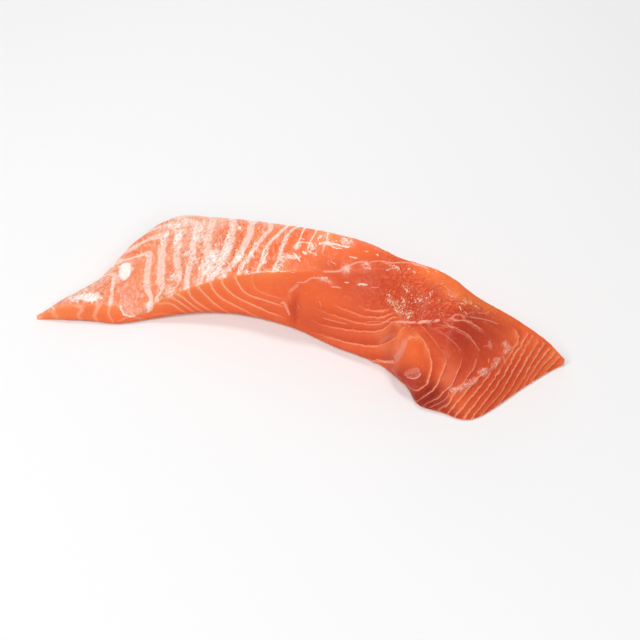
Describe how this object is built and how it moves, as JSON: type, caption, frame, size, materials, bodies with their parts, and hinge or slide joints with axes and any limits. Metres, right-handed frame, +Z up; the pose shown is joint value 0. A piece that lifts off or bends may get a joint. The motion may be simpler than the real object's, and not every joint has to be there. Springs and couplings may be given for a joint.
{
  "type": "piece of salmon",
  "caption": "Raw salmon piece: a long strip cut across a skinned fillet, from a thin belly tip to a thick rounded back end, resting on its flat underside.",
  "frame": {"origin": "middle of the floor rectangle the piece covers, on the floor", "axes": "+X along the strip from the thin belly tip to the thick back tip, +Z up, -Y the cut face with the muscle rings"},
  "size_m": [0.178, 0.0594, 0.0332],
  "materials": {
    "flesh": "moist raw salmon flesh, orange with pale fat lines"
  },
  "bodies": {
    "root": {"salmon_piece": "flesh"}
  },
  "joints": []
}
